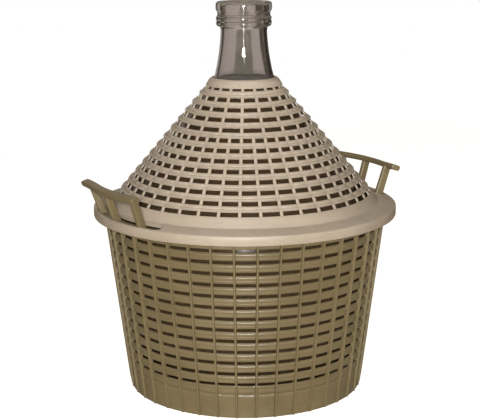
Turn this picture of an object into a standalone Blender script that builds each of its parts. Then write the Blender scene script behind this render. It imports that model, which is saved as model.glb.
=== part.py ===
"""Demijohn: a glass carboy in an imitation-wicker jacket.

The jacket is a ribbed, slotted basket with two handles, and a windowed conical cover that goes over the neck.
Metres, +Z up. The origin is on the floor, at the middle of the basket, and the handles stand on the X axis.
"""

import math

import bmesh
import bpy
from mathutils import Matrix, Vector

# Glass bottle: heights are above its foot
BOTTLE_HEIGHT = 0.4285
BODY_RADIUS = 0.143
BELLY_HEIGHT = 0.165
FOOT_RADIUS = 0.072
FOOT_RING = 0.007
FOOT_HOLLOW = 0.006
HEEL_REACH = 0.050
HEEL_RISE = 0.0085
HEEL_DROP = 0.085
SHOULDER_RISE = 0.065
SHOULDER_REACH = 0.017
SHOULDER_DROP = 0.068
NECK_BASE_HEIGHT = 0.3465
NECK_BASE_RADIUS = 0.033
NECK_RADIUS = 0.0255
# The neck's curve is drawn in at these shares of its flare and of its height
NECK_LOW_DRAW = (0.47, 0.29)
NECK_HIGH_DRAW = (0.10, 0.62)
FINISH_HEIGHT = 0.028
BAND_RADIUS = 0.0309
BAND_HEIGHT = 0.0120
WAIST_RADIUS = 0.0293
WAIST_HEIGHT = 0.0056
LIP_RADIUS = 0.0311
LIP_ROUND = 0.0014
GLASS = 0.0035
BOTTLE_SIDES = 24
BODY_STEPS = 5
NECK_STEPS = 4

# Basket moulding
BASKET_HEIGHT = 0.207
BODY_CLEARANCE = 0.007
WALL = 0.003
DRAFT = 0.1264
FOOT_RIM_WIDTH = 0.005
FLOOR_RAISE = 0.003
FLOOR = 0.003
DRAIN_SLOTS = 8
DRAIN_LENGTH = 0.026
DRAIN_WIDTH = 0.005
DRAIN_RADIUS = 0.100
RIBS = 40
RIB_WIDTH = 0.003
RIB_PROUD = 0.0025
RIB_FOOT = 0.0048
RIB_TOP_GAP = 0.004
SLAT_DEPTH = 0.0022
SLAT_SIDES = 20
SLOT_ROWS = 13
SLOT_HEIGHT = 0.0028
BASE_BAND = 0.0376
RIM_BAND = 0.0150
RIM_THICKNESS = 0.0028
RIM_REACH = 0.0105

# Cover moulding
SEAT_GAP = 0.0003
COVER_TURN = math.radians(2.0)
NECK_CLEARANCE = 0.0015
COLLAR_RISE = 0.0005
COLLAR_WIDTH = 0.0080
COLLAR_HEIGHT = 0.0099
COLLAR_ROUND = 0.0079
COLLAR_STEP = 0.0011
COLLAR_LAND = 0.0020
COLLAR_FLARE = 0.0029
COLLAR_SIDES = 32
COLLAR_STEPS = 3
COVER_WALL = 0.0032
WINDOW_ROWS = 13
COARSE_ROWS = 5
COARSE_COLUMNS = 20
FINE_COLUMNS = 40
WINDOW_HEIGHT = 0.0041
WINDOW_STEP = 0.0014
BAR_WIDTH = 0.0040
BAND_RIDGE = 0.45
PLAIN_BAND = 0.0138
SKIRT_CLEARANCE = 0.0006
SKIRT_THICKNESS = 0.0022
SKIRT_DEPTH = 0.0080
FLANGE_THICKNESS = 0.0024
FLANGE_FALL = 0.0036
FLANGE_WIDTH = 0.0200
SEAT_WIDTH = 0.0076
CONE_FOOT_WALL = 0.0022
EDGE_ROUND = 0.0014
FLANGE_SIDES = 60

# Handles, one at each end of the X axis
POST_COUNT = 3
POST_SPACING = math.radians(16.4)
POST_WIDTH = 0.0050
POST_DEPTH = 0.0085
POST_INSET = 0.0064
HANDLE_RISE = 0.0335
HANDLE_LEAN = 0.0098
GRIP_DEPTH = 0.0090
GRIP_HEIGHT = 0.0056
GRIP_TILT = math.radians(20)
GRIP_OVERHANG = math.radians(5.0)
GRIP_CORNER = math.radians(1.0)
GRIP_SIDES = 8
HORN_START = 0.6
HORN_REACH = 0.006
GRIP_POINTS = 15
SLOT_MARGIN = math.radians(5.5)
SLOT_CLEARANCE_IN = 0.0024
SLOT_CLEARANCE_OUT = 0.0018
HANDLE_SLOT_STEPS = 12

# Edges sharper than this stay sharp under smooth shading
SHARP_ANGLE = math.radians(35)

FULL_TURN = 2 * math.pi
BOTTLE_FOOT = FLOOR_RAISE + FLOOR + SEAT_GAP
COVER_SEAT = BASKET_HEIGHT + SEAT_GAP
COVER_TOP = BOTTLE_FOOT + NECK_BASE_HEIGHT + COLLAR_RISE

OLIVE = (0.205, 0.160, 0.078)
BEIGE = (0.560, 0.450, 0.310)
CLEAR_GLASS = (0.620, 0.600, 0.530)


def clear_scene():
    for thing in list(bpy.data.objects):
        bpy.data.objects.remove(thing)


def collection(name):
    group = bpy.data.collections.new(name)
    bpy.context.scene.collection.children.link(group)
    return group


def material(name, color, roughness, transmission=0.0):
    made = bpy.data.materials.new(name)
    made.use_nodes = True
    shader = made.node_tree.nodes["Principled BSDF"]
    shader.inputs["Base Color"].default_value = (*color, 1)
    shader.inputs["Roughness"].default_value = roughness
    shader.inputs["Metallic"].default_value = 0
    shader.inputs["Transmission Weight"].default_value = transmission
    return made


def object_from(bm, name, group, finish=None):
    bmesh.ops.recalc_face_normals(bm, faces=bm.faces)
    mesh = bpy.data.meshes.new(name)
    bm.to_mesh(mesh)
    bm.free()
    mesh.shade_smooth()
    mesh.set_sharp_from_angle(angle=SHARP_ANGLE)
    if finish:
        mesh.materials.append(finish)
    made = bpy.data.objects.new(name, mesh)
    group.objects.link(made)
    return made


def add_boolean(target, other, operation):
    other.hide_render = True
    other.display_type = "WIRE"
    step = target.modifiers.new(other.name, "BOOLEAN")
    step.object = other
    step.operation = operation
    step.solver = "EXACT"


def bezier(start, near_start, near_end, end, count):
    """Points of a cubic arc, both ends included, as (radius, height)."""
    points = []
    for i in range(count + 1):
        t = i / count
        weights = ((1 - t) ** 3, 3 * t * (1 - t) ** 2, 3 * t * t * (1 - t), t**3)
        corners = (start, near_start, near_end, end)
        points.append(tuple(sum(w * c[k] for w, c in zip(weights, corners)) for k in (0, 1)))
    return points


# A chain is a list of (place, vertex) in rising order of place: an angle round a ring, or a height up a rib.


def evenly(count):
    return [FULL_TURN * i / count for i in range(count)]


def bar_corners(columns, width, radius):
    """The two corners of each bar, so a ring of them outlines one edge of a row of windows."""
    half = math.asin(width / 2 / radius)
    return [FULL_TURN * i / columns + side * half for i in range(columns) for side in (-1, 1)]


def ring(bm, radius, height, angles):
    return [
        (angle, bm.verts.new((radius * math.cos(angle), radius * math.sin(angle), height)))
        for angle in angles
    ]


def closed(chain):
    return chain + [(chain[0][0] + FULL_TURN, chain[0][1])]


def zip_chains(bm, first, second):
    """Triangles between two chains, whichever of them is next in place taking the next step."""
    i = j = 0
    while i < len(first) - 1 or j < len(second) - 1:
        first_next = j == len(second) - 1 or (
            i < len(first) - 1 and first[i][0] + first[i + 1][0] <= second[j][0] + second[j + 1][0]
        )
        if first_next:
            bm.faces.new((first[i][1], first[i + 1][1], second[j][1]))
            i += 1
        else:
            bm.faces.new((first[i][1], second[j + 1][1], second[j][1]))
            j += 1


def zip_rings(bm, rings):
    for upper, lower in zip(rings, rings[1:]):
        zip_chains(bm, closed(upper), closed(lower))


def close_with_centre(bm, edge, height):
    centre = bm.verts.new((0, 0, height))
    for (_, near), (_, far) in zip(edge, edge[1:] + edge[:1]):
        bm.faces.new((near, far, centre))


def window_row(bm, noses, band_tops, inner_above, inner_below, columns):
    """One row of windows. Each bar is a prism: a ridge in front, and two corners on each inner ring."""
    noses, band_tops = closed(noses), closed(band_tops)
    inner_above, inner_below = closed(inner_above), closed(inner_below)
    span_above = (len(inner_above) - 1) // columns
    span_below = (len(inner_below) - 1) // columns
    for bar in range(columns):
        corners_above = inner_above[bar * span_above : (bar + 1) * span_above + 1]
        corners_below = inner_below[bar * span_below : (bar + 1) * span_below + 1]
        (_, left_above), (_, right_above) = corners_above[:2]
        (_, left_below), (_, right_below) = corners_below[:2]
        top, low = noses[bar][1], band_tops[bar][1]
        bm.faces.new((top, low, right_below, right_above))
        bm.faces.new((low, top, left_above, left_below))
        bm.faces.new((left_above, right_above, right_below, left_below))
        zip_chains(bm, noses[bar : bar + 2], corners_above[1:])
        zip_chains(bm, band_tops[bar : bar + 2], corners_below[1:])


def slot_row(bm, above, below):
    """The backs of the ribs across one row of slots; the slats between the rows close its edges."""
    for rib in range(RIBS):
        left, right = 2 * rib, 2 * rib + 1
        bm.faces.new((above[left][1], above[right][1], below[right][1], below[left][1]))


def add_ribs(bm, columns_of_corners, low, high, radius_at):
    """Upright ribs whose feet are the edges of the bars: a front line and one corner column on each side."""
    corner_rings = [closed(corners) for corners in columns_of_corners]
    for rib in range(RIBS):
        angle = FULL_TURN * rib / RIBS
        fronts = []
        for side in (-1, 1):
            front = []
            for height in (low, high):
                spot = Vector((radius_at(height) + RIB_PROUD, side * RIB_WIDTH / 2, height))
                front.append((height, bm.verts.new(Matrix.Rotation(angle, 3, "Z") @ spot)))
            column = [corners[2 * rib + (side + 1) // 2][1] for corners in corner_rings]
            foot = [(corner.co.z, corner) for corner in column]
            zip_chains(bm, foot, front)
            fronts.append((foot, front))
        (left_foot, left), (right_foot, right) = fronts
        bm.faces.new((left[0][1], right[0][1], right[1][1], left[1][1]))
        for end in (0, -1):
            bm.faces.new((left_foot[end][1], left[end][1], right[end][1], right_foot[end][1]))


def wall_radius(height):
    """The basket's outer wall, between the ribs."""
    belly = BODY_RADIUS + BODY_CLEARANCE + WALL
    return belly + DRAFT * (height - BOTTLE_FOOT - BELLY_HEIGHT)


def shoulder_outline():
    """The glass from its widest place up to the base of the neck, heights in the world."""
    return bezier(
        (BODY_RADIUS, BOTTLE_FOOT + BELLY_HEIGHT),
        (BODY_RADIUS, BOTTLE_FOOT + BELLY_HEIGHT + SHOULDER_RISE),
        (NECK_BASE_RADIUS + SHOULDER_REACH, BOTTLE_FOOT + NECK_BASE_HEIGHT - SHOULDER_DROP),
        (NECK_BASE_RADIUS, BOTTLE_FOOT + NECK_BASE_HEIGHT),
        BODY_STEPS,
    )


def neck_outline():
    low = BOTTLE_FOOT + NECK_BASE_HEIGHT
    high = BOTTLE_FOOT + BOTTLE_HEIGHT - FINISH_HEIGHT
    flare = NECK_BASE_RADIUS - NECK_RADIUS
    draws = [
        (NECK_RADIUS + flare_left * flare, low + rise * (high - low))
        for flare_left, rise in (NECK_LOW_DRAW, NECK_HIGH_DRAW)
    ]
    return bezier((NECK_BASE_RADIUS, low), *draws, (NECK_RADIUS, high), NECK_STEPS)


def body_outline():
    """The glass from its foot up to its widest place."""
    return bezier(
        (FOOT_RADIUS, BOTTLE_FOOT),
        (FOOT_RADIUS + HEEL_REACH, BOTTLE_FOOT + HEEL_RISE),
        (BODY_RADIUS, BOTTLE_FOOT + BELLY_HEIGHT - HEEL_DROP),
        (BODY_RADIUS, BOTTLE_FOOT + BELLY_HEIGHT),
        BODY_STEPS,
    )


def inset(outline, thickness):
    """The outline moved in by a thickness, square to its own run."""
    moved = []
    for i, (radius, height) in enumerate(outline):
        before = outline[max(i - 1, 0)]
        after = outline[min(i + 1, len(outline) - 1)]
        along = Vector((after[0] - before[0], after[1] - before[1])).normalized()
        moved.append((radius - along.y * thickness, height + along.x * thickness))
    return moved


def bottle_profile():
    """Half section of the glass: from the middle of its floor up inside, over the lip and down outside."""
    top = BOTTLE_FOOT + BOTTLE_HEIGHT
    finish = top - FINISH_HEIGHT
    band_top = finish + BAND_HEIGHT
    lip_low = band_top + WAIST_HEIGHT
    outside = body_outline() + shoulder_outline()[1:] + neck_outline()[1:]
    inside = inset(outside, GLASS)
    # The glass stands on a ring: its floor is pushed up in the middle
    hollow = BOTTLE_FOOT + FOOT_HOLLOW
    profile = [(0, hollow + GLASS)]
    profile += inside[1:]
    profile += [
        (NECK_RADIUS - GLASS, top - 2 * LIP_ROUND),
        (NECK_RADIUS - GLASS + LIP_ROUND, top),
        (LIP_RADIUS - LIP_ROUND, top),
        (LIP_RADIUS, top - LIP_ROUND),
        (LIP_RADIUS, lip_low + LIP_ROUND),
        (WAIST_RADIUS, lip_low),
        (WAIST_RADIUS, band_top),
        (BAND_RADIUS, band_top - LIP_ROUND),
        (BAND_RADIUS, finish),
    ]
    profile += reversed(outside)
    profile.append((FOOT_RADIUS - FOOT_RING, BOTTLE_FOOT))
    profile.append((0, hollow))
    return profile


def make_bottle(group, finish):
    bm = bmesh.new()
    points = [bm.verts.new((radius, 0, height)) for radius, height in bottle_profile()]
    for low, high in zip(points, points[1:]):
        bm.edges.new((low, high))
    mesh = bpy.data.meshes.new("glass_bottle")
    bm.to_mesh(mesh)
    bm.free()
    mesh.materials.append(finish)
    bottle = bpy.data.objects.new("glass_bottle", mesh)
    group.objects.link(bottle)
    turn = bottle.modifiers.new("turn", "SCREW")
    turn.steps = turn.render_steps = BOTTLE_SIDES
    turn.use_merge_vertices = True
    turn.merge_threshold = 0.00001
    turn.use_normal_calculate = True
    return bottle


def make_basket(group, cutters, finish):
    bm = bmesh.new()
    pitch = (BASKET_HEIGHT - BASE_BAND - RIM_BAND - SLOT_HEIGHT) / (SLOT_ROWS - 1)
    slots = [(BASE_BAND + row * pitch, BASE_BAND + row * pitch + SLOT_HEIGHT) for row in range(SLOT_ROWS)]
    rib_top = BASKET_HEIGHT - RIM_THICKNESS - RIB_TOP_GAP
    floor_top = FLOOR_RAISE + FLOOR

    def corners(height):
        radius = wall_radius(height)
        return ring(bm, radius, height, bar_corners(RIBS, RIB_FOOT, radius))

    def nodes(height):
        return ring(bm, wall_radius(height) - WALL, height, evenly(RIBS))

    outer = [corners(0)]
    for low, high in slots:
        outer += [corners(low), corners(high)]
    outer.append(corners(rib_top))
    base_inner = [nodes(floor_top), nodes(BASE_BAND - WALL)]
    top_inner = [nodes(slots[-1][1] + WALL), nodes(BASKET_HEIGHT)]

    # Slats are prisms with their third edge inside, and the ribs in front of them bridge the slots
    for low, high in zip(outer[1::2], outer[2::2]):
        slot_row(bm, high, low)
    for low, high in zip(outer[2:-2:2], outer[3:-1:2]):
        middle = (low[0][1].co.z + high[0][1].co.z) / 2
        apex = ring(bm, wall_radius(middle) - SLAT_DEPTH, middle, evenly(SLAT_SIDES))
        zip_rings(bm, [low, apex, high])
    zip_rings(bm, base_inner + [outer[1]])
    zip_rings(bm, [outer[-2]] + top_inner)
    for low, high in zip(outer[0::2], outer[1::2]):
        low, high = closed(low), closed(high)
        for bay in range(RIBS):
            zip_chains(bm, low[2 * bay + 1 : 2 * bay + 3], high[2 * bay + 1 : 2 * bay + 3])
    add_ribs(bm, outer, 0, rib_top, wall_radius)

    # Rim: from the top of the ribs, out under the rim, up and over it to the inner wall
    under = BASKET_HEIGHT - RIM_THICKNESS
    rim_radius = wall_radius(BASKET_HEIGHT) + RIM_REACH
    rim = [
        outer[-1],
        ring(bm, wall_radius(under), under, evenly(RIBS)),
        ring(bm, rim_radius, under, evenly(RIBS)),
        ring(bm, rim_radius, BASKET_HEIGHT, evenly(RIBS)),
        top_inner[-1],
    ]
    zip_rings(bm, rim)

    # Floor: raised inside a foot ring
    foot_inner = wall_radius(0) - FOOT_RIM_WIDTH
    base = [outer[0], ring(bm, foot_inner, 0, evenly(RIBS)), ring(bm, foot_inner, FLOOR_RAISE, evenly(RIBS))]
    zip_rings(bm, base)
    close_with_centre(bm, base[-1], FLOOR_RAISE)
    close_with_centre(bm, base_inner[0], floor_top)

    basket = object_from(bm, "basket", group, finish)
    add_boolean(basket, make_drain_cutter(cutters), "DIFFERENCE")
    return basket


def make_drain_cutter(cutters):
    """Radial drain slots through the floor, round the ring that the bottle's foot leaves free."""
    bm = bmesh.new()
    middle = FLOOR_RAISE + FLOOR / 2
    for slot in range(DRAIN_SLOTS):
        place = Matrix.Rotation(FULL_TURN * (slot + 0.5) / DRAIN_SLOTS, 4, "Z")
        place @= Matrix.Translation((DRAIN_RADIUS, 0, middle))
        place @= Matrix.Diagonal((DRAIN_LENGTH, DRAIN_WIDTH, 3 * FLOOR, 1))
        bmesh.ops.create_cube(bm, size=1, matrix=place)
    return object_from(bm, "drain_slots", cutters)


def collar_radius():
    """The cover's neck hole, which clears the widest glass that it slides over."""
    return max(NECK_BASE_RADIUS, BAND_RADIUS, LIP_RADIUS) + NECK_CLEARANCE


def make_cover(group, cutters, finish):
    bm = bmesh.new()
    hole = collar_radius()
    rim_radius = wall_radius(BASKET_HEIGHT) + RIM_REACH
    skirt_inner = rim_radius + SKIRT_CLEARANCE
    skirt_outer = skirt_inner + SKIRT_THICKNESS
    flange_edge = COVER_SEAT + FLANGE_THICKNESS
    cone_low = (skirt_outer - FLANGE_WIDTH, flange_edge + FLANGE_FALL)
    cone_high = (hole + COLLAR_WIDTH - COLLAR_STEP, COVER_TOP - COLLAR_HEIGHT)
    slope = (cone_low[0] - cone_high[0]) / (cone_high[1] - cone_low[1])
    pitch = (cone_high[1] - cone_low[1] - PLAIN_BAND) / (WINDOW_ROWS - 1)

    def on_cone(height):
        return cone_high[0] + slope * (cone_high[1] - height)

    # Collar: from inside the cone up through the neck hole, then rounded over to the first row of windows
    collar = [
        ring(bm, hole + COLLAR_FLARE, cone_high[1] + COLLAR_LAND, evenly(COLLAR_SIDES)),
        ring(bm, hole, COVER_TOP - COLLAR_LAND, evenly(COLLAR_SIDES)),
    ]
    for step in range(COLLAR_STEPS + 1):
        turn = math.pi / 2 * step / COLLAR_STEPS
        radius = hole + COLLAR_WIDTH * math.sin(turn)
        collar.append(ring(bm, radius, COVER_TOP - COLLAR_ROUND * (1 - math.cos(turn)), evenly(COLLAR_SIDES)))

    # Stepped cone: each band ends in a nose, and the bars drop from it to the top of the next band
    noses, band_tops, inner = [], [], []
    columns_of = [COARSE_COLUMNS if row < COARSE_ROWS else FINE_COLUMNS for row in range(WINDOW_ROWS)]
    for row, columns in enumerate(columns_of):
        nose = cone_high[1] - row * pitch
        radius = on_cone(nose)
        noses.append(ring(bm, radius, nose, evenly(columns)))
        band_tops.append(ring(bm, radius + WINDOW_STEP, nose - WINDOW_HEIGHT, evenly(columns)))
    for band in range(WINDOW_ROWS + 1):
        columns = columns_of[min(band, WINDOW_ROWS - 1)]
        height = cone_high[1] - (band - 1) * pitch - WINDOW_HEIGHT - (pitch - WINDOW_HEIGHT) * BAND_RIDGE
        if band == 0:
            height = cone_high[1] + COLLAR_LAND / 2
        radius = on_cone(height) - COVER_WALL
        inner.append(ring(bm, radius, height, bar_corners(columns, BAR_WIDTH, radius)))
    for row, columns in enumerate(columns_of):
        window_row(bm, noses[row], band_tops[row], inner[row], inner[row + 1], columns)
    for row in range(WINDOW_ROWS - 1):
        zip_rings(bm, [band_tops[row], noses[row + 1]])
    zip_rings(bm, [inner[0]] + collar + [noses[0]])

    # Flange and skirt, and back under them to the inside of the cone
    skirt_low = COVER_SEAT - SKIRT_DEPTH
    seat_inner = skirt_inner - SEAT_WIDTH
    flange = [
        band_tops[-1],
        ring(bm, cone_low[0], cone_low[1], evenly(FLANGE_SIDES)),
        ring(bm, skirt_outer - EDGE_ROUND, flange_edge, evenly(FLANGE_SIDES)),
        ring(bm, skirt_outer, flange_edge - EDGE_ROUND, evenly(FLANGE_SIDES)),
        ring(bm, skirt_outer, skirt_low, evenly(FLANGE_SIDES)),
        ring(bm, skirt_inner, skirt_low, evenly(FLANGE_SIDES)),
        ring(bm, skirt_inner, COVER_SEAT, evenly(FLANGE_SIDES)),
        ring(bm, seat_inner, COVER_SEAT, evenly(RIBS)),
        ring(bm, cone_low[0] - CONE_FOOT_WALL, cone_low[1] - FLANGE_THICKNESS, evenly(RIBS)),
        inner[-1],
    ]
    zip_rings(bm, flange)

    cover = object_from(bm, "cover", group, finish)
    for side in (0, 1):
        add_boolean(cover, make_slot_cutter(cutters, side), "DIFFERENCE")
    cover.rotation_euler.z = COVER_TURN
    return cover


def handle_radius():
    """The middle of the posts' feet on the basket's rim."""
    return wall_radius(BASKET_HEIGHT) + RIM_REACH - POST_INSET


def make_slot_cutter(cutters, side):
    """An arc slot with round ends, through the flange, for the handle's posts to pass."""
    bm = bmesh.new()
    inner = handle_radius() - POST_DEPTH / 2 - SLOT_CLEARANCE_IN
    outer = handle_radius() + POST_DEPTH / 2 + SLOT_CLEARANCE_OUT
    radius = (inner + outer) / 2
    half = (outer - inner) / 2
    reach = POST_SPACING * (POST_COUNT - 1) / 2 + SLOT_MARGIN
    edge = []
    for end in (1, -1):
        spots = [end * reach * (1 - 2 * i / HANDLE_SLOT_STEPS) for i in range(HANDLE_SLOT_STEPS + 1)]
        edge += [((radius + end * half) * math.cos(a), (radius + end * half) * math.sin(a)) for a in spots]
        tip = -end * (reach + half / radius)
        edge.append((radius * math.cos(tip), radius * math.sin(tip)))
    low = COVER_SEAT - FLANGE_THICKNESS
    floor = [bm.verts.new((x, y, low)) for x, y in edge]
    face = bm.faces.new(floor)
    grown = bmesh.ops.extrude_face_region(bm, geom=[face])
    lifted = [part for part in grown["geom"] if isinstance(part, bmesh.types.BMVert)]
    bmesh.ops.translate(bm, verts=lifted, vec=(0, 0, 3 * FLANGE_THICKNESS + FLANGE_FALL))
    cutter = object_from(bm, f"handle_slot_{side + 1}", cutters)
    cutter.rotation_euler.z = COVER_TURN + side * math.pi
    return cutter


def grip_section(cutters):
    """Cross-section of the grip: a flattened ring."""
    curve = bpy.data.curves.new("grip_section", "CURVE")
    curve.dimensions = "2D"
    curve.fill_mode = "NONE"
    line = curve.splines.new("POLY")
    line.points.add(GRIP_SIDES - 1)
    corner = 1 / math.cos(math.pi / GRIP_SIDES)
    for i, point in enumerate(line.points):
        angle = FULL_TURN * (i + 0.5) / GRIP_SIDES
        flat = Vector((GRIP_DEPTH / 2 * math.cos(angle), GRIP_HEIGHT / 2 * math.sin(angle))) * corner
        point.co = (*(Matrix.Rotation(-GRIP_TILT, 2) @ flat), 0, 1)
    line.use_cyclic_u = True
    section = bpy.data.objects.new("grip_section", curve)
    section.hide_render = True
    cutters.objects.link(section)
    return section


def make_grip(name, group, cutters, finish):
    """The grip follows the rim. One end stops at its post, and the other reaches past it and turns out a little."""
    curve = bpy.data.curves.new(name, "CURVE")
    curve.dimensions = "3D"
    curve.bevel_mode = "OBJECT"
    curve.bevel_object = grip_section(cutters)
    curve.use_fill_caps = True
    line = curve.splines.new("POLY")
    line.points.add(GRIP_POINTS - 1)
    posts = POST_SPACING * (POST_COUNT - 1) / 2
    start = -posts - GRIP_OVERHANG
    end = posts + GRIP_CORNER
    height = BASKET_HEIGHT + HANDLE_RISE
    for i, point in enumerate(line.points):
        angle = start + (end - start) * i / (GRIP_POINTS - 1)
        horn = max(0.0, (angle + HORN_START * posts) / (start + HORN_START * posts)) ** 2
        radius = handle_radius() + HANDLE_LEAN + HORN_REACH * horn
        point.co = (radius * math.cos(angle), radius * math.sin(angle), height, 1)
    drawn = bpy.data.objects.new(name + "_line", curve)
    group.objects.link(drawn)
    bpy.context.view_layer.update()
    mesh = bpy.data.meshes.new_from_object(drawn.evaluated_get(bpy.context.evaluated_depsgraph_get()))
    bpy.data.objects.remove(drawn)
    bm = bmesh.new()
    bm.from_mesh(mesh)
    bmesh.ops.remove_doubles(bm, verts=bm.verts, dist=0.00001)
    return object_from(bm, name, group, finish)


def make_post(name, angle, cutters):
    """A leaning post, deeper than it is wide, from the rim up into the grip."""
    bm = bmesh.new()
    bmesh.ops.create_cube(bm, size=1)
    low = BASKET_HEIGHT + SEAT_GAP
    high = BASKET_HEIGHT + HANDLE_RISE
    for corner in bm.verts:
        share = corner.co.z + 0.5
        radius = handle_radius() + HANDLE_LEAN * share + corner.co.x * POST_DEPTH
        corner.co = (radius, corner.co.y * POST_WIDTH, low + share * (high - low))
    bmesh.ops.rotate(bm, verts=bm.verts, cent=(0, 0, 0), matrix=Matrix.Rotation(angle, 3, "Z"))
    return object_from(bm, name, cutters)


def make_handle(name, turn, group, cutters, finish):
    handle = make_grip(name, group, cutters, finish)
    for i in range(POST_COUNT):
        angle = POST_SPACING * (i - (POST_COUNT - 1) / 2)
        post = make_post(f"{name}_post_{i + 1}", angle, cutters)
        post.rotation_euler.z = turn
        add_boolean(handle, post, "UNION")
    handle.rotation_euler.z = turn
    return handle


def main():
    clear_scene()
    pieces = collection("demijohn")
    cutters = collection("cutters")
    olive = material("olive_plastic", OLIVE, 0.5)
    beige = material("beige_plastic", BEIGE, 0.5)
    glass = material("clear_glass", CLEAR_GLASS, 0.05, transmission=1.0)
    make_bottle(pieces, glass)
    make_basket(pieces, cutters, olive)
    make_cover(pieces, cutters, beige)
    make_handle("handle_right", 0.0, pieces, cutters, olive)
    make_handle("handle_left", math.pi, pieces, cutters, olive)


main()
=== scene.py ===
"""Demijohn: a glass carboy in an imitation-wicker jacket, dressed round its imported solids.

Metres, +Z up. The origin is on the floor, at the middle of the basket, and the handles stand
on the X axis. The rows of points that make the moulded shells are in millimetres.
"""

import math

import bmesh
import bpy
import numpy as np
from mathutils import Matrix, Vector


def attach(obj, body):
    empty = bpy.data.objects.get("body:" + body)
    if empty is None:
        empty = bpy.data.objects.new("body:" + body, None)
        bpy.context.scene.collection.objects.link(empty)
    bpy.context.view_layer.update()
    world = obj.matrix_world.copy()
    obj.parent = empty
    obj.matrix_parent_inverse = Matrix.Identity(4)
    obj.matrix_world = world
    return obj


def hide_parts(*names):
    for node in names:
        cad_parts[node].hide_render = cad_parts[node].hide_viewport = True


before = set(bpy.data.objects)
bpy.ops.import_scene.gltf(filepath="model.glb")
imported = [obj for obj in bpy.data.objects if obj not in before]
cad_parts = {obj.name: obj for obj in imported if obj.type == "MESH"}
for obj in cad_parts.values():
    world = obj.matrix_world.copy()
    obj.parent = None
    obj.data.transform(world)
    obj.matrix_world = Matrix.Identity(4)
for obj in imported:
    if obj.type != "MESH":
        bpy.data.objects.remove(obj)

FULL_TURN = 2 * math.pi
SHARP_ANGLE = 40

# Camera, fitted to the photograph
CAMERA_AZIMUTH = math.radians(238.2)
CAMERA_DISTANCE = 1.4395
CAMERA_HEIGHT = 0.520
CAMERA_PITCH = 0.219
CAMERA_ROLL = -0.0060
CAMERA_YAW = 0.0038
CAMERA_LENS = 97.07
SENSOR = 36.0

# A small bright light over the camera, a thin strip of light and a soft one overhead
LIGHT_TARGET = (0, 0, 0.2)
KEY_ELEVATION = math.radians(14)
KEY_DISTANCE = 2.0
KEY_SIZE = (0.33, 0.10)
KEY_POWER = 46
STRIP_ELEVATION = math.radians(7)
STRIP_DISTANCE = 1.9
STRIP_SIZE = (0.05, 0.75)
STRIP_POWER = 2.2
OVERHEAD_ELEVATION = math.radians(75)
OVERHEAD_DISTANCE = 1.6
OVERHEAD_SIZE = (1.2, 1.2)
OVERHEAD_POWER = 8

# A dim warm room, and behind the object a pale backdrop with a dark flag at each side of it.
# Places across the room go from 0, at the photograph's left, to 1, at its right. The backdrop
# starts where a direction leads away from the camera by more than BACKDROP_START.
ROOM_LIGHT = (0.26, 0.224, 0.17)
BACKDROP_LIGHT = (0.44, 0.392, 0.375)
BACKDROP_SHADE = (0.165, 0.148, 0.12)
DARK_FLAG = (0.02, 0.012, 0.006)
BACKDROP_START = 0.2
BACKDROP = [
    (0.050, ROOM_LIGHT),
    (0.080, DARK_FLAG),
    (0.240, DARK_FLAG),
    (0.270, BACKDROP_LIGHT),
    (0.477, BACKDROP_LIGHT),
    (0.481, BACKDROP_SHADE),
    (0.518, BACKDROP_SHADE),
    (0.522, BACKDROP_LIGHT),
    (0.572, BACKDROP_LIGHT),
    (0.585, DARK_FLAG),
    (0.930, DARK_FLAG),
    (0.960, ROOM_LIGHT),
]

# A floor of paper that stays pale
FLOOR_HALF = 1.5
FLOOR_TONE = (0.50, 0.44, 0.36)
FLOOR_GLOW = 0.88
FLOOR_ROUGHNESS = 0.8

# Dark, middle and light tone of each plastic, the two tones of the glass, and a painted shade:
# a dark brown on the hidden part of the bottle, for the shade inside the jacket, fading out
# between two heights
OLIVE_TONES = ((0.122, 0.093, 0.044), (0.142, 0.109, 0.053), (0.162, 0.125, 0.063))
OLIVE_ROUGHNESS = 0.37
BEIGE_TONES = ((0.315, 0.259, 0.196), (0.342, 0.282, 0.216), (0.37, 0.306, 0.238))
BEIGE_ROUGHNESS = 0.45
GLASS_TONES = ((0.80, 0.78, 0.755), (0.88, 0.86, 0.835))
# Painted shade: the dark brown the glass takes inside the jacket, and the heights where it fades
# out
INTERIOR_SHADE_TONE = (0.24, 0.16, 0.085)
INTERIOR_SHADE_START = 0.340
INTERIOR_SHADE_END = 0.357

# Bottle: the solid's sizes, with a fuller shoulder under the cover. The groove of its finish
# slants by GROOVE_SLANT, and is highest towards GROOVE_TURN.
BOTTLE_FOOT = 0.0063
BODY_RADIUS = 0.143
BELLY = BOTTLE_FOOT + 0.165
FOOT_RADIUS = 0.072
HEEL = (FOOT_RADIUS - 0.016, BOTTLE_FOOT + 0.0038)
PUNT_RADIUS = 0.020
PUNT_HEIGHT = BOTTLE_FOOT + 0.006
NECK_BASE = BOTTLE_FOOT + 0.3465
NECK_BASE_RADIUS = 0.033
NECK_TOP = 0.4068
NECK_RADIUS = 0.0255
BORE_TOP = 0.4300
BORE_FOOT = 0.4180
GLASS = 0.0035
BOTTLE_SIDES = 128
BODY_STEPS = 28
NECK_STEPS = 16
GROOVE_SLANT = 0.0007
GROOVE_TURN = CAMERA_AZIMUTH + 1.2

# Basket: the solid's sizes, with slots that run nearer to the ribs and a fuller lower edge
BASKET_TOP = 0.207
MIDDLE_RADIUS = 0.153
MIDDLE_HEIGHT = 0.1713
DRAFT = 0.1264
WALL = 0.003
SLAT_WALL = 0.0026
RIBS = 40
RIB_PROUD = 0.0025
RIB_TOP = 0.2002
SLOT_ROWS = 13
SLOT_LOW = 0.0376
SLOT_HEIGHT = 0.0028
SLOT_PITCH = 0.0126333
RIM_UNDER = 0.2042
RIM_RADIUS = 0.16801

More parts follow.
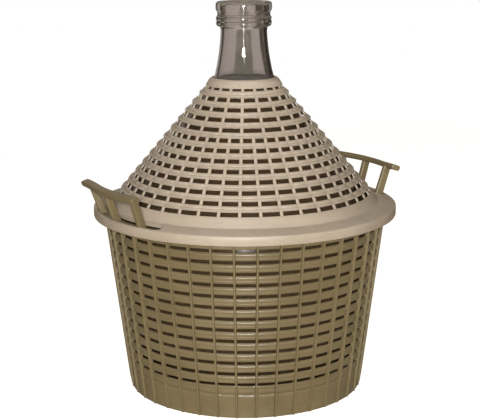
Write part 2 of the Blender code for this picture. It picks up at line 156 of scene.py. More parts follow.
# Cover: the solid's sizes, with higher windows, raised noses and a lower collar
COVER_TURN = math.radians(2.0)
COVER_BARS = 40
COLLAR_HOLE = 0.0345
COLLAR_WIDTH = 0.0080
COVER_TOP = 0.3533
COLLAR_DROP = 0.0014
NOSE_RADIUS = 0.0414
NOSE_HEIGHT = 0.3434
NOSE_PITCH = 0.009692
NOSE_SPREAD = 0.008151
WINDOW_ROWS = 13
COARSE_ROWS = 5
WINDOW_HEIGHT = 0.0049
WINDOW_STEP = 0.0022
NOSE_LIFT = 0.0011
FIRST_WINDOW = 0.0023
CONE_FOOT = (0.15081, 0.2133)
FLANGE_EDGE = 0.2097
SKIRT_INNER = 0.16861
SKIRT_OUTER = 0.17081
SKIRT_LOW = 0.1993
COVER_SEAT = 0.2073
SLOT_OVERRUN = math.radians(5.5)
SLOT_CLEARANCE = 0.0024
SLOT_CUT_LOW = 0.2043
SLOT_CUT_TOP = 0.2165

# Handles: the solid's places, with a rise and a lean of their own on each side. Smoothing the
# fillets takes FILLET_LOSS off the thickness of posts and grip, so they start that much thicker.
HANDLE_RADIUS = 0.16161
LEFT_RISE = 0.0322
LEFT_LEAN = 0.0118
RIGHT_RISE = 0.0346
RIGHT_LEAN = 0.0106
POST_SPACING = math.radians(16.4)
POST_WIDTH = 0.0050
POST_DEPTH = 0.0085
POST_FLARE = 0.10
POST_SINK = 0.012
POST_SQUARENESS = 5
POST_SECTIONS = 12
GRIP_DEPTH = 0.0090
GRIP_HEIGHT = 0.0056
GRIP_TILT = math.radians(20)
GRIP_OVERHANG = math.radians(5.0)
GRIP_CORNER = math.radians(1.0)
GRIP_SQUARENESS = 4
GRIP_SECTIONS = 65
HORN_START = 0.6
HORN_REACH = 0.006
SECTION_SIDES = 28
FILLET_GRID = 0.0006
FILLET_STEPS = 7
FILLET_LOSS = 0.0009


def wall_radius(height):
    """The basket's outer wall, between the ribs."""
    return MIDDLE_RADIUS + DRAFT * (height - MIDDLE_HEIGHT)


def soften(mesh, sharp_angle=SHARP_ANGLE):
    """Smooth shading, with the edges that turn more than an angle left crisp."""
    mesh.shade_smooth()
    mesh.set_sharp_from_angle(angle=math.radians(sharp_angle))


def mesh_object(name, vertices, faces, finish, sharp_angle=SHARP_ANGLE):
    mesh = bpy.data.meshes.new(name)
    mesh.from_pydata(vertices, [], faces)
    bm = bmesh.new()
    bm.from_mesh(mesh)
    bmesh.ops.recalc_face_normals(bm, faces=bm.faces)
    bm.to_mesh(mesh)
    bm.free()
    soften(mesh, sharp_angle)
    if finish:
        mesh.materials.append(finish)
    made = bpy.data.objects.new(name, mesh)
    bpy.context.scene.collection.objects.link(made)
    return made


def apply_modifiers(piece):
    """Makes the piece's modifiers part of its mesh."""
    graph = bpy.context.evaluated_depsgraph_get()
    mesh = bpy.data.meshes.new_from_object(piece.evaluated_get(graph))
    piece.modifiers.clear()
    piece.data = mesh


def cut(piece, cutter):
    """Takes the cutter's shape out of the piece, and the cutter out of the scene."""
    step = piece.modifiers.new("cut", "BOOLEAN")
    step.object = cutter
    step.operation = "DIFFERENCE"
    step.solver = "MANIFOLD"
    apply_modifiers(piece)
    bpy.data.objects.remove(cutter)


def ring_quads(low, high, count):
    """Faces between two rings of vertices, each given by the number of its first vertex."""
    quads = []
    for i in range(count):
        after = (i + 1) % count
        quads.append((low + i, low + after, high + after, high + i))
    return quads


def bezier(start, near_start, near_end, end, count):
    """Points of a cubic arc, both ends included, as (radius, height)."""
    t = np.linspace(0, 1, count + 1)[:, None]
    start, near_start, near_end, end = map(np.array, (start, near_start, near_end, end))
    low = (1 - t) ** 3 * start + 3 * t * (1 - t) ** 2 * near_start
    return low + 3 * t * t * (1 - t) * near_end + t**3 * end


class Columns:
    """Places round a ring, with a cell from each to the next, repeated for each bar.

    Some are at set widths from the bar's middle, and the others share out the rest of the way
    to the next bar. Relief and swell say how much of a row's own relief and swell each takes.
    """

    def __init__(self, bars, turn, offsets, between, least_radius, relief, swell):
        self.bars = bars
        self.turn = turn
        self.offsets = np.array(offsets) / 1000
        self.between = np.array(between)
        self.least_radius = least_radius
        none = [0.0] * len(between)
        whole = [1.0] * len(between)
        self.relief = np.tile(relief + none, bars)
        self.swell = np.tile(swell + whole, bars)
        self.each = len(offsets) + len(between)

    def angles(self, radii):
        pitch = FULL_TURN / self.bars
        reach = np.maximum(radii, self.least_radius)[:, None]
        near = self.offsets[None, :] / reach
        free = pitch - near[:, -1:] + near[:, :1]
        far = near[:, -1:] + free * self.between[None, :]
        one = np.concatenate((near, far), axis=1)
        bars = self.turn + pitch * np.arange(self.bars)
        return (bars[None, :, None] + one[:, None, :]).reshape(len(radii), -1)

    def points(self, rows):
        """A row is its radius and height, then its swell out and up and its relief out and up.

        All are in millimetres, and what a row leaves out at its end is 0.
        """
        rows = np.array([tuple(row) + (0.0,) * (6 - len(row)) for row in rows]) / 1000
        angles = self.angles(rows[:, 0])
        radius = rows[:, :1] + rows[:, 2:3] * self.swell + rows[:, 4:5] * self.relief
        height = rows[:, 1:2] + rows[:, 3:4] * self.swell + rows[:, 5:6] * self.relief
        return np.stack((radius * np.cos(angles), radius * np.sin(angles), height), axis=-1)


def lattice(name, columns, bands, gaps, finish, centre=None):
    """A shell of bands, each with outer and inner rows, and gaps that only the bars cross.

    A gap is an array that says which of the cells round the ring are solid.
    """
    count = columns.bars * columns.each
    vertices, faces = [], []
    total = 0
    indices = []
    for outer, inner in bands:
        pair = []
        for rows in (outer, inner):
            points = columns.points(rows)
            pair.append(total + np.arange(len(rows) * count).reshape(len(rows), count))
            vertices.append(points.reshape(-1, 3))
            total += len(rows) * count
        indices.append(pair)

    def strip(low, high, cells=None):
        quads = np.stack((low, np.roll(low, -1), np.roll(high, -1), high), axis=-1)
        faces.extend((quads if cells is None else quads[cells]).tolist())

    for outer, inner in indices:
        for side in (outer, inner):
            for low, high in zip(side, side[1:]):
                strip(low, high)
    for (outer, inner), (next_outer, next_inner), solid in zip(indices, indices[1:], gaps):
        strip(outer[-1], next_outer[0], solid)
        strip(inner[-1], next_inner[0], solid)
        strip(outer[-1], inner[-1], ~solid)
        strip(next_outer[0], next_inner[0], ~solid)
        ends = np.nonzero(solid != np.roll(solid, 1))[0]
        corners = (outer[-1], next_outer[0], next_inner[0], inner[-1])
        faces.extend(np.stack([ring[ends] for ring in corners], axis=-1).tolist())
    if centre:
        for rows, height in zip(indices[0], centre):
            vertices.append(np.array([[0, 0, height / 1000]]))
            edge = rows[0]
            fan = np.stack((edge, np.roll(edge, -1), np.full(count, total)), axis=-1)
            faces.extend(fan.tolist())
            total += 1
    else:
        strip(indices[0][0][0], indices[0][1][0])
    strip(indices[-1][0][-1], indices[-1][1][-1])
    return mesh_object(name, np.concatenate(vertices).tolist(), faces, finish)


def bar_cells(columns, first, last):
    """Which cells of one bar are solid where a gap is cut: those between two of its places."""
    cells = np.arange(columns.each)
    return (cells >= first) & (cells < last)


def make_basket(finish):
    columns = Columns(
        RIBS,
        0.0,
        offsets=[-2.3, -1.45, -1.2, -0.95, -0.45, 0.45, 0.95, 1.2, 1.45, 2.3],
        between=[0.26, 0.5, 0.74],
        least_radius=wall_radius(0),
        relief=[0.0, 0.0, 0.5, 0.88, 1.0, 1.0, 0.88, 0.5, 0.0, 0.0],
        swell=[0.9, 0.4, 0.2, 0.0, 0.0, 0.0, 0.0, 0.2, 0.4, 0.9],
    )
    rib = RIB_PROUD * 1000
    base_wall = WALL * 1000
    slat_wall = SLAT_WALL * 1000

    def wall(height, swell=0.0, inward=0.0, relief=rib):
        return (wall_radius(height / 1000) * 1000 - inward, height, swell, 0.0, relief)

    foot = wall_radius(0) * 1000
    floor_under, floor_top = 3.0, 6.0
    floor_middle = 40.0
    drain_start, drain_end = 87.0, 113.0
    floor_outer = [(floor_middle, floor_under), (drain_start, floor_under)]
    floor_inner = [(floor_middle, floor_top), (drain_start, floor_top)]
    bands = [(floor_outer, floor_inner)]

    # Foot ring, plain base band with two shallow grooves, up to the first row of slots
    low = SLOT_LOW * 1000
    outer = [
        (drain_end, floor_under),
        (foot - 5.4, floor_under),
        (foot - 5.0, floor_under - 0.4),
        (foot - 5.0, 0.5),
        (foot - 4.5, 0.0),
        (foot + 0.3, 0.0, 0, 0, 0.5 * rib),
        (foot + 1.0, 0.3, 0, 0, 0.6 * rib),
        wall(1.2, 1.1, relief=0.7 * rib),
        wall(3.0, 0.9, relief=0.8 * rib),
        wall(5.5, 0.4, relief=0.95 * rib),
        wall(10),
        wall(16),
        wall(22),
        wall(25.0),
        wall(25.9, -0.25),
        wall(26.7, -0.9),
        wall(27.5, -0.9),
        wall(28.2, -0.2),
        wall(29.2, 0.15),
        wall(31.0, 0.35),
        wall(33.0, 0.1),
        wall(33.9, -0.2),
        wall(34.8, 0.15),
        wall(36.2, 0.35),
        wall(low - 0.4, 0.1),
        wall(low, -0.4),
    ]
    inner = [
        (drain_end, floor_top),
        (foot - 4.2, floor_top),
        (foot - 2.4, floor_top + 1.4),
        wall(20, inward=base_wall, relief=0),
        wall(low, inward=slat_wall, relief=0),
    ]
    bands.append((outer, inner))

    # Slats, each with two beads: the share of its height, and how far it swells out there
    pitch = SLOT_PITCH * 1000
    slot = SLOT_HEIGHT * 1000
    slat = pitch - slot
    profile = [
        (0.0, -1.3),
        (0.03, -0.6),
        (0.07, -0.1),
        (0.12, 0.12),
        (0.24, 0.20),
        (0.345, 0.18),
        (0.37, 0.05),
        (0.385, 0.05),
        (0.41, 0.18),
        (0.52, 0.25),
        (0.62, 0.32),
        (0.68, 0.35),
        (0.73, 0.12),
        (0.78, -0.12),
        (0.83, -0.65),
        (0.91, -1.5),
    ]
    for row in range(SLOT_ROWS - 1):
        start = low + slot + row * pitch
        outer = [wall(start + share * slat, swell) for share, swell in profile]
        shares = (0, 0.45, 0.91)
        inner = [wall(start + share * slat, inward=slat_wall, relief=0) for share in shares]
        bands.append((outer, inner))

    # Top band and rim
    start = low + slot + (SLOT_ROWS - 1) * pitch
    rib_top = RIB_TOP * 1000
    under = RIM_UNDER * 1000
    top = BASKET_TOP * 1000
    edge = RIM_RADIUS * 1000
    outer = [
        wall(start, -0.45),
        wall(start + 0.4, 0.0),
        wall(start + 1.4, 0.3),
        wall(start + 3.0, 0.1),
        wall(rib_top - 1.2),
        wall(rib_top - 0.3, relief=0.85 * rib),
        wall(rib_top, relief=0.0),
        wall(under - 0.5, relief=0.0),
        (wall_radius(RIM_UNDER) * 1000 + 0.5, under),
        (edge - 0.4, under),
        (edge, under + 0.4),
        (edge, top - 0.6),
        (edge - 0.6, top),
    ]
    inner = [
        wall(start, inward=slat_wall, relief=0),
        wall(start + 3.0, inward=base_wall, relief=0),
        wall(top - 0.5, inward=base_wall, relief=0),
        (wall_radius(BASKET_TOP) * 1000 - 2.5, top),
    ]
    bands.append((outer, inner))

    slots = [np.tile(bar_cells(columns, 1, 8), RIBS)] * SLOT_ROWS
    # Every fifth bay has a drain slot in the floor, over two of the cells between its ribs
    drains = np.ones(RIBS * columns.each, bool)
    for bay in range(2, RIBS, 5):
        cell = bay * columns.each + len(columns.offsets)
        drains[cell : cell + 2] = False
    centre = (floor_under, floor_top)
    return lattice("basket_moulding", columns, bands, [drains] + slots, finish, centre)


def make_cover(finish):
    columns = Columns(
        COVER_BARS,
        COVER_TURN,
        offsets=[-2.2, -1.95, -1.7, -1.25, -0.5, 0.5, 1.25, 1.7, 1.95, 2.2],
        between=[0.25, 0.5, 0.75],
        least_radius=NOSE_RADIUS,
        relief=[0.0, 0.0, 0.0, 0.85, 1.0, 1.0, 0.85, 0.0, 0.0, 0.0],
        swell=[0.0, -1.0, 0.0, 0.0, 0.0, 0.0, 0.0, 0.0, -1.0, 0.0],
    )
    # A band: the share of the way from its top edge to its nose, and the rise square to that
    profile = [
        (0.0, -0.15),
        (0.04, 0.20),
        (0.14, 0.42),
        (0.30, 0.46),
        (0.44, 0.28),
        (0.50, -0.15),
        (0.54, -0.50),
        (0.58, 0.0),
        (0.66, 0.55),
        (0.80, 0.75),
        (0.93, 0.80),
        (1.0, 0.45),
    ]
    # A fine groove, this deep, runs down each side of a bar
    groove = 0.22
    hole = COLLAR_HOLE * 1000
    top = COVER_TOP * 1000 - COLLAR_DROP * 1000
    nose = (NOSE_HEIGHT + NOSE_LIFT) * 1000
    first = NOSE_RADIUS * 1000
    width = COLLAR_WIDTH * 1000
    pitch, spread = NOSE_PITCH * 1000, NOSE_SPREAD * 1000
    window, step = WINDOW_HEIGHT * 1000, WINDOW_STEP * 1000
    # A band's whole run down its slope, and the directions along and square to it
    run = np.array((spread - step, -(pitch - window)))
    along = run / np.hypot(*run)
    square = np.array((-along[1], along[0]))
    thickness = 2.0

    def band_top(row):
        """The upper edge of the band under a row of windows."""
        return np.array((first + (row - 1) * spread + step, nose - (row - 1) * pitch - window))

    # Collar: up through the neck hole and rounded over to the first row of windows
    collar = [
        (hole, top - 2.4),
        (hole, top - 0.6),
        (hole + 0.2, top - 0.15),
        (hole + 0.7, top),
        (hole + 1.9, top - 0.3),
        (hole + 3.1, top - 1.0),
        (hole + 4.2, top - 2.1),
        (hole + 5.3, top - 3.7, groove, 0.0),
        (hole + 6.3, top - 5.4, groove, 0.0),
        (hole + width - 0.2, nose - 0.5, groove, 0.0),
        (first + 1.3, nose - 1.1),
        (first + 0.8, nose - 1.35),
        (first - 0.8, nose - 1.4, 0, 0, 1.4, 0.0),
    ]
    collar_inner = [(hole + 2.9, nose + 2.0), (hole + 4.2, nose + 1.2)]
    bands = [(collar, collar_inner)]
    for row in range(1, WINDOW_ROWS):
        start = band_top(row)
        end = start + run
        if row == 1:
            # The first window is a low one
            start = np.array((first + 1.7, nose - 1.4 - FIRST_WINDOW * 1000))
        outer = []
        for share, rise in profile:
            outer.append((*(start + (end - start) * share + square * rise), groove, 0.0))
        # Under the nose the window sets back, and the bars stay flush with it
        outer.append((end[0] - 0.25, end[1] - 0.10, 0, 0, 0.15, -0.10))
        outer.append((end[0] - 1.5, end[1] - 0.10, 0, 0, 1.35, -0.25))
        low_edge = start - square * thickness + along * 0.8
        high_edge = end - square * thickness - along * 0.6
        inner = [tuple(low_edge), tuple((low_edge + high_edge) / 2), tuple(high_edge)]
        bands.append((outer, inner))

    # Plain band, flange and skirt
    start = band_top(WINDOW_ROWS)
    foot = np.array(CONE_FOOT) * 1000
    edge = FLANGE_EDGE * 1000
    low = SKIRT_LOW * 1000
    seat = COVER_SEAT * 1000
    outside, inside = SKIRT_OUTER * 1000, SKIRT_INNER * 1000
    # The flange falls a little towards its edge
    fall = (foot[1] - edge) / (outside - 1.4 - foot[0])
    outer = [
        (*start, 0, 0),
        tuple(start + along * 0.5 + square * 0.35),
        tuple(start + along * 1.5 + square * 0.5),
        tuple(start + (foot - start) * 0.5 + square * 0.3),
        tuple(foot - along * 0.8 + square * 0.1),
        (foot[0] + 0.4, foot[1] - 0.25),
        (foot[0] + 1.5, foot[1] - 1.5 * fall),
        (foot[0] + 9.0, foot[1] - 9.0 * fall),
        (outside - 2.4, edge + 0.25),
        (outside - 1.2, edge - 0.15),
        (outside - 0.35, edge - 0.75),
        (outside, edge - 1.7),
        (outside, edge - 4.0),
        (outside, low + 0.9),
        (outside - 0.25, low + 0.25),
        (outside - 0.8, low),
    ]
    low_edge = start - square * thickness + along * 0.8
    inner = [
        tuple(low_edge),
        (foot[0] - 2.2, foot[1] - 2.4),
        (inside - 7.6, seat),
        (inside - 0.5, seat),
        (inside, seat - 0.5),
        (inside, low + 0.5),
        (inside + 0.5, low),
    ]
    bands.append((outer, inner))

    # The upper rows have a bar at every second place only
    bar = bar_cells(columns, 2, 7)
    fine = np.tile(bar, COVER_BARS)
    coarse = np.tile(np.concatenate((bar, np.zeros(columns.each, bool))), COVER_BARS // 2)
    gaps = [coarse] * COARSE_ROWS + [fine] * (WINDOW_ROWS - COARSE_ROWS)
    cover = lattice("cover_moulding", columns, bands, gaps, finish)
    for side in (0, 1):
        cut(cover, slot_cutter(COVER_TURN + side * math.pi))
    soften(cover.data)
    return cover


def slot_cutter(turn):
    """An arc slot with round ends, through the flange, for the handle's posts to pass."""
    inner = HANDLE_RADIUS - POST_DEPTH / 2 - SLOT_CLEARANCE
    outer = HANDLE_RADIUS + POST_DEPTH / 2 + SLOT_CLEARANCE
    radius, half = (inner + outer) / 2, (outer - inner) / 2
    reach = POST_SPACING + SLOT_OVERRUN
    arc_steps, end_steps = 48, 16
    edge = []
    for end in (1, -1):
        for angle in np.linspace(end * reach, -end * reach, arc_steps + 1):
            edge.append((radius + end * half, angle))
        for i in range(1, end_steps):
            turned = math.pi * i / end_steps
            across = half * math.cos(turned) * end
            edge.append((radius + across, -end * (reach + half * math.sin(turned) / radius)))
    vertices = []
    for height in (SLOT_CUT_LOW, SLOT_CUT_TOP):
        vertices += [(r * math.cos(turn + a), r * math.sin(turn + a), height) for r, a in edge]
    count = len(edge)
    faces = ring_quads(0, count, count)
    faces += [tuple(range(count)), tuple(range(count, 2 * count))]
    return mesh_object("slot_cutter", vertices, faces, None)


def inset(outline, thickness):
    """The outline moved in by a thickness, square to its own run."""
    along = np.gradient(outline, axis=0)
    along /= np.linalg.norm(along, axis=1)[:, None]
    return outline + thickness * np.stack((-along[:, 1], along[:, 0]), axis=1)


def make_bottle(finish):
    body = bezier(
        (FOOT_RADIUS, BOTTLE_FOOT),
        (FOOT_RADIUS + 0.050, BOTTLE_FOOT + 0.0085),
        (BODY_RADIUS, BELLY - 0.085),
        (BODY_RADIUS, BELLY),
        BODY_STEPS,
    )
    shoulder = bezier(
        (BODY_RADIUS, BELLY),
        (BODY_RADIUS, BELLY + 0.073),
        (NECK_BASE_RADIUS + 0.0125, NECK_BASE - 0.040),
        (NECK_BASE_RADIUS, NECK_BASE),
        BODY_STEPS,
    )
    flare = NECK_BASE_RADIUS - NECK_RADIUS
    rise = NECK_TOP - NECK_BASE
    neck = bezier(
        (NECK_BASE_RADIUS, NECK_BASE),
        (NECK_RADIUS + 0.47 * flare, NECK_BASE + 0.29 * rise),
        (NECK_RADIUS + 0.10 * flare, NECK_BASE + 0.62 * rise),
        (NECK_RADIUS, NECK_TOP),
        NECK_STEPS,
    )
    outside = np.concatenate((body, shoulder[1:], neck[1:]))
    inside = inset(outside, GLASS)
    bore = NECK_RADIUS - GLASS
    # The finish: a band with a groove in it, a waist and the lip, in millimetres
    finish_rows = [
        (26.4, 407.2),
        (28.8, 407.9),
        (30.2, 409.0),
        (30.75, 410.8),
        (30.85, 412.6),
        (30.4, 413.6),
        (29.75, 414.3),
        (30.3, 415.0),
        (30.8, 415.9),
        (30.7, 417.6),
        (30.1, 418.7),
        (29.45, 419.4),
        (29.3, 420.6),
        (29.3, 422.6),
        (29.6, 423.9),
        (30.4, 424.9),
        (31.0, 426.2),
        (31.1, 428.0),
        (31.1, 431.6),
        (30.8, 433.2),
        (30.1, 434.3),
        (29.0, 434.8),
        (24.2, 434.75),
        (22.9, 434.2),
        (22.0, 432.8),
    ]
    rows = [(PUNT_RADIUS, PUNT_HEIGHT), HEEL, (FOOT_RADIUS - 0.007, BOTTLE_FOOT)]
    rows += [tuple(point) for point in outside[:-1]]
    # The groove slants a little
    groove = range(len(rows) + 5, len(rows) + 9)
    rows += [(radius / 1000, height / 1000) for radius, height in finish_rows]
    rows += [(bore, BORE_TOP), (bore, BORE_FOOT)]
    rows += [tuple(point) for point in inside[:0:-1]]
    rows += [(HEEL[0], HEEL[1] + GLASS), (PUNT_RADIUS, PUNT_HEIGHT + GLASS)]
    vertices, faces = [], []
    for place, (radius, height) in enumerate(rows):
        for i in range(BOTTLE_SIDES):
            angle = FULL_TURN * i / BOTTLE_SIDES
            slant = GROOVE_SLANT * math.cos(angle - GROOVE_TURN) if place in groove else 0.0
            vertices.append((radius * math.cos(angle), radius * math.sin(angle), height + slant))
    for low in range(len(rows) - 1):
        faces += ring_quads(low * BOTTLE_SIDES, (low + 1) * BOTTLE_SIDES, BOTTLE_SIDES)
    last = (len(rows) - 1) * BOTTLE_SIDES
    for edge, height in ((0, PUNT_HEIGHT), (last, PUNT_HEIGHT + GLASS)):
        vertices.append((0, 0, height))
        for i in range(BOTTLE_SIDES):
            faces.append((edge + i, edge + (i + 1) % BOTTLE_SIDES, len(vertices) - 1))
    return mesh_object("bottle_glass", vertices, faces, finish, sharp_angle=60)


def loft(vertices, faces, sections):
    """A closed solid through sections of equal count, with a flat face at each end."""
    start = len(vertices)
    count = len(sections[0])
    for section in sections:
        vertices.extend(map(tuple, section))
    for place in range(len(sections) - 1):
        faces += ring_quads(start + place * count, start + (place + 1) * count, count)
    faces.append(tuple(range(start + count - 1, start - 1, -1)))
    last = start + (len(sections) - 1) * count
    faces.append(tuple(range(last, last + count)))


def rounded(depth, width, squareness):
    """A rounded rectangle, as (across, up) points round it."""
    turn = FULL_TURN * (np.arange(SECTION_SIDES) + 0.5) / SECTION_SIDES
    sides = []
    for wave, size in ((np.cos(turn), depth), (np.sin(turn), width)):
        sides.append(np.sign(wave) * np.abs(wave) ** (2 / squareness) * size / 2)
    return np.stack(sides, axis=1)


def make_handle(name, turn, rise, lean, finish):
    """Three leaning posts and a grip, run together with small fillets."""
    vertices, faces = [], []
    start = -POST_SPACING - GRIP_OVERHANG
    end = POST_SPACING + GRIP_CORNER
    horn_start = -HORN_START * POST_SPACING
    height = BASKET_TOP + rise
    # The outer edge of the grip is the lower one
    tilt_cos, tilt_sin = math.cos(GRIP_TILT), math.sin(GRIP_TILT)
    tilt = np.array(((tilt_cos, -tilt_sin), (tilt_sin, tilt_cos)))
    outline = rounded(GRIP_DEPTH + FILLET_LOSS, GRIP_HEIGHT + FILLET_LOSS, GRIP_SQUARENESS) @ tilt
    sections = []
    for angle in np.linspace(start, end, GRIP_SECTIONS):
        horn = max(0.0, (angle - horn_start) / (start - horn_start)) ** 2
        radius = HANDLE_RADIUS + lean + HORN_REACH * horn
        out_x, out_y = math.cos(turn + angle), math.sin(turn + angle)
        section = []
        for across, up in outline:
            section.append(((radius + across) * out_x, (radius + across) * out_y, height + up))
        sections.append(section)
    loft(vertices, faces, sections)
    # Each post widens a little towards its foot, which is sunk in the rim
    for place in (-1, 0, 1):
        centre = turn + place * POST_SPACING
        out = np.array((math.cos(centre), math.sin(centre), 0))
        side = np.array((-math.sin(centre), math.cos(centre), 0))
        sections = []
        for share in np.linspace(-POST_SINK, 1.0, POST_SECTIONS):
            flare = 1 + POST_FLARE * (1 - share) ** 4
            depth = POST_DEPTH * flare + FILLET_LOSS
            width = POST_WIDTH * flare + FILLET_LOSS
            middle = out * (HANDLE_RADIUS + lean * share)
            middle[2] = BASKET_TOP + rise * share
            outline = rounded(depth, width, POST_SQUARENESS)
            sections.append([middle + out * across + side * aside for across, aside in outline])
        loft(vertices, faces, sections)
    handle = mesh_object(name, vertices, faces, finish)
    joined = handle.modifiers.new("joined", "REMESH")
    joined.mode = "VOXEL"
    joined.voxel_size = FILLET_GRID
    soft = handle.modifiers.new("soft", "SMOOTH")
    soft.factor = 0.5
    soft.iterations = FILLET_STEPS
    apply_modifiers(handle)
    handle.data.shade_smooth()
    return handle


def color_sockets(sockets):
    """The sockets that carry a colour, among the hidden ones for other kinds of value."""
    return [socket for socket in sockets if socket.type == "RGBA"]


class Nodes:
    """A short way to add the shader nodes of a material or a world, and to join them."""

    def __init__(self, owner, shader="Principled BSDF"):
        owner.use_nodes = True
        self.owner = owner
        self.tree = owner.node_tree
        self.shader = self.tree.nodes[shader]
        self.place = self.add("ShaderNodeTexCoord")

    def put(self, value, socket):
        """Gives a socket a value, or joins another node's output to it."""
        if isinstance(value, bpy.types.NodeSocket):
            self.tree.links.new(value, socket)
        else:
            socket.default_value = value

    def add(self, kind, inputs=None, **settings):
        """A node with its settings, and a value or another node's output for inputs by name."""
        node = self.tree.nodes.new(kind)
        for key, value in settings.items():
            setattr(node, key, value)
        for key, value in (inputs or {}).items():
            self.put(value, node.inputs[key])
        return node

    def set(self, **values):
        """Sets inputs of the shader itself."""
        for key, value in values.items():
            self.put(value, self.shader.inputs[key.replace("_", " ")])

    def noise(self, scale, detail, roughness, stretch=None):
        place = self.place.outputs["Object"]
        if stretch:
            mapping = self.add("ShaderNodeMapping", {"Vector": place, "Scale": stretch})
            place = mapping.outputs["Vector"]
        inputs = {"Vector": place, "Scale": scale, "Detail": detail, "Roughness": roughness}
        return self.add("ShaderNodeTexNoise", inputs).outputs["Fac"]

    def ramp(self, source, stops):
        node = self.add("ShaderNodeValToRGB", {"Fac": source})
        marks = node.color_ramp.elements
        while len(marks) < len(stops):
            marks.new(0.5)
        for mark, (spot, color) in zip(marks, stops):
            mark.position = spot
            mark.color = (*color, 1)
        return node.outputs["Color"]

    def spread(self, source, low=0.0, high=1.0, start=0.0, end=1.0):
        """A value that goes from low to high while its source goes from start to end."""
        limits = {"From Min": start, "From Max": end, "To Min": low, "To Max": high}
        return self.add("ShaderNodeMapRange", {"Value": source, **limits}).outputs["Result"]

    def height(self):
        parts = self.add("ShaderNodeSeparateXYZ", {"Vector": self.place.outputs["Object"]})
        return parts.outputs["Z"]

    def seen(self):
        """1 for what the eye sees directly, and 0 for the light that falls on the object."""
        return self.add("ShaderNodeLightPath").outputs["Is Camera Ray"]

    def mix(self, share, first, second, blend="MIX"):
        node = self.add("ShaderNodeMix", data_type="RGBA", blend_type=blend)
        self.put(share, node.inputs[0])
        for value, socket in zip((first, second), color_sockets(node.inputs)):
            self.put(value, socket)
        return color_sockets(node.outputs)[0]

    def bump(self, *layers):
        """Relief of the surface. Each layer is a height, its strength and its depth in metres."""
        normal = None
        for source, strength, depth in layers:
            inputs = {"Height": source, "Strength": strength, "Distance": depth}
            if normal:
                inputs["Normal"] = normal
            normal = self.add("ShaderNodeBump", inputs).outputs["Normal"]
        self.set(Normal=normal)


def moulded_plastic(name, tones, roughness):
    """Moulded plastic: cloudy tone, faint drawn streaks round the rings, and a fine grain."""
    nodes = Nodes(bpy.data.materials.new(name))
    cloud = nodes.noise(16, 3, 0.55)
    streak = nodes.noise(90, 3, 0.6, stretch=(1, 1, 7))
    grain = nodes.noise(900, 2, 0.5)
    tone = nodes.ramp(cloud, list(zip((0.30, 0.50, 0.72), tones)))
    shade = nodes.spread(streak, 0.86, 1.12)
    gray = nodes.add("ShaderNodeCombineColor", {0: shade, 1: shade, 2: shade})
    nodes.set(
        Base_Color=nodes.mix(1.0, tone, gray.outputs["Color"], "MULTIPLY"),
        Roughness=nodes.spread(grain, roughness - 0.08, roughness + 0.10),
    )
    nodes.bump((streak, 0.10, 0.0010), (grain, 0.12, 0.0004))
    return nodes.owner


def clear_glass(name):
    """Thick bottle glass with a faint tone and a slight wave, and painted dark brown shade where
    the jacket hides it.
    """
    nodes = Nodes(bpy.data.materials.new(name))
    wave = nodes.noise(38, 2, 0.45, stretch=(1, 1, 0.35))
    tone = nodes.ramp(wave, list(zip((0.2, 0.8), GLASS_TONES)))
    # Painted shade: low on the bottle, where the jacket hides it, the glass turns dark brown and
    # partly diffuse, standing in for the shade inside the jacket, and fades to clear glass between
    # two heights
    above_shade = nodes.spread(nodes.height(), start=INTERIOR_SHADE_START, end=INTERIOR_SHADE_END)
    painted_shade = nodes.ramp(above_shade, [(0.0, INTERIOR_SHADE_TONE), (1.0, (1, 1, 1))])
    nodes.set(
        IOR=1.5,
        Base_Color=nodes.mix(1.0, tone, painted_shade, "MULTIPLY"),
        Roughness=nodes.spread(above_shade, 0.16, 0.03),
        Transmission_Weight=nodes.spread(above_shade, 0.80, 0.985),
    )
    nodes.bump((wave, 0.35, 0.0010))
    return nodes.owner


def make_camera():
    data = bpy.data.cameras.new("camera")
    data.sensor_width = SENSOR
    data.sensor_fit = "HORIZONTAL"
    data.lens = CAMERA_LENS
    data.clip_end = 200
    camera = bpy.data.objects.new("camera", data)
    bpy.context.scene.collection.objects.link(camera)
    turn = CAMERA_AZIMUTH + math.pi / 2 + CAMERA_YAW
    aim = Matrix.Rotation(turn, 4, "Z") @ Matrix.Rotation(math.pi / 2 - CAMERA_PITCH, 4, "X")
    aim @= Matrix.Rotation(CAMERA_ROLL, 4, "Z")
    flat = (CAMERA_DISTANCE * math.cos(CAMERA_AZIMUTH), CAMERA_DISTANCE * math.sin(CAMERA_AZIMUTH))
    camera.matrix_world = Matrix.Translation((*flat, CAMERA_HEIGHT)) @ aim
    bpy.context.scene.camera = camera


def area_light(name, elevation, distance, size, energy):
    """A light on the camera's side, turned to the object."""
    data = bpy.data.lights.new(name, "AREA")
    data.shape = "RECTANGLE"
    data.size, data.size_y = size
    data.energy = energy
    light = bpy.data.objects.new(name, data)
    bpy.context.scene.collection.objects.link(light)
    flat = distance * math.cos(elevation)
    out = (flat * math.cos(CAMERA_AZIMUTH), flat * math.sin(CAMERA_AZIMUTH))
    target = Vector(LIGHT_TARGET)
    light.location = target + Vector((*out, distance * math.sin(elevation)))
    light.rotation_euler = (target - light.location).to_track_quat("-Z", "Y").to_euler()


def make_floor():
    """Paper that looks white, and throws only a warm, dim light back on to the object."""
    nodes = Nodes(bpy.data.materials.new("floor_paper"))
    nodes.set(
        Base_Color=(*FLOOR_TONE, 1),
        Roughness=FLOOR_ROUGHNESS,
        Emission_Color=(1, 1, 1, 1),
        Emission_Strength=nodes.spread(nodes.seen(), 0, FLOOR_GLOW),
    )
    corners = ((-1, -1), (1, -1), (1, 1), (-1, 1))
    vertices = [(x * FLOOR_HALF, y * FLOOR_HALF, 0) for x, y in corners]
    floor = mesh_object("floor", vertices, [(0, 1, 2, 3)], nodes.owner)
    if floor.data.polygons[0].normal.z < 0:
        floor.data.flip_normals()


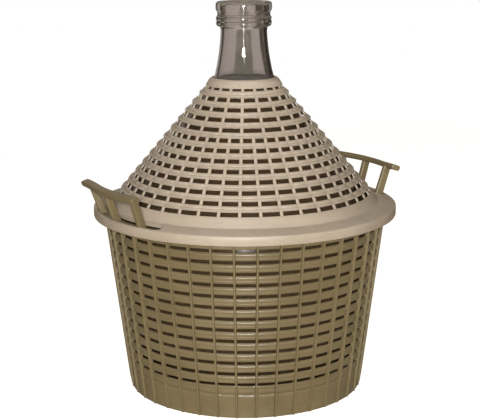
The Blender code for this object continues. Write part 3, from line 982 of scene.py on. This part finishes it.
def make_room():
    """A room that is white to the eye, and lights the object as the backdrop and flags do."""
    nodes = Nodes(bpy.data.worlds.new("world"), "Background")
    away_x, away_y = -math.cos(CAMERA_AZIMUTH), -math.sin(CAMERA_AZIMUTH)

    def reach(direction):
        """How far a ray goes in a direction, from -1 to 1."""
        inputs = {0: nodes.place.outputs["Generated"], 1: direction}
        return nodes.add("ShaderNodeVectorMath", inputs, operation="DOT_PRODUCT").outputs["Value"]

    backdrop = nodes.ramp(nodes.spread(reach((away_y, -away_x, 0)), start=-1), BACKDROP)
    inputs = {0: reach((away_x, away_y, 0)), 1: BACKDROP_START}
    behind = nodes.add("ShaderNodeMath", inputs, operation="GREATER_THAN").outputs["Value"]
    room = nodes.mix(behind, (*ROOM_LIGHT, 1), backdrop)
    nodes.set(Color=nodes.mix(nodes.seen(), room, (1, 1, 1, 1)))
    bpy.context.scene.world = nodes.owner


def make_lights():
    area_light("key", KEY_ELEVATION, KEY_DISTANCE, KEY_SIZE, KEY_POWER)
    area_light("strip", STRIP_ELEVATION, STRIP_DISTANCE, STRIP_SIZE, STRIP_POWER)
    area_light("overhead", OVERHEAD_ELEVATION, OVERHEAD_DISTANCE, OVERHEAD_SIZE, OVERHEAD_POWER)


def main():
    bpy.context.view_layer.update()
    make_camera()
    olive = moulded_plastic("olive_plastic_look", OLIVE_TONES, OLIVE_ROUGHNESS)
    beige = moulded_plastic("beige_plastic_look", BEIGE_TONES, BEIGE_ROUGHNESS)
    glass = clear_glass("clear_glass_look")
    basket = make_basket(olive)
    left = make_handle("handle_left_loop", math.pi, LEFT_RISE, LEFT_LEAN, olive)
    right = make_handle("handle_right_loop", 0.0, RIGHT_RISE, RIGHT_LEAN, olive)
    cover = make_cover(beige)
    bottle = make_bottle(glass)
    pieces = [
        (basket, "basket", ["basket"], "olive_plastic"),
        (left, "basket", ["handle_left"], "olive_plastic"),
        (right, "basket", ["handle_right"], "olive_plastic"),
        (cover, "cover", ["cover"], "beige_plastic"),
        (bottle, "bottle", ["glass_bottle"], "clear_glass"),
    ]
    for piece, body, nodes, slot in pieces:
        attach(piece, body)
        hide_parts(*nodes)
    make_floor()
    make_room()
    make_lights()
    bpy.context.scene.view_settings.view_transform = "Standard"
    bpy.context.scene.view_settings.look = "None"


main()
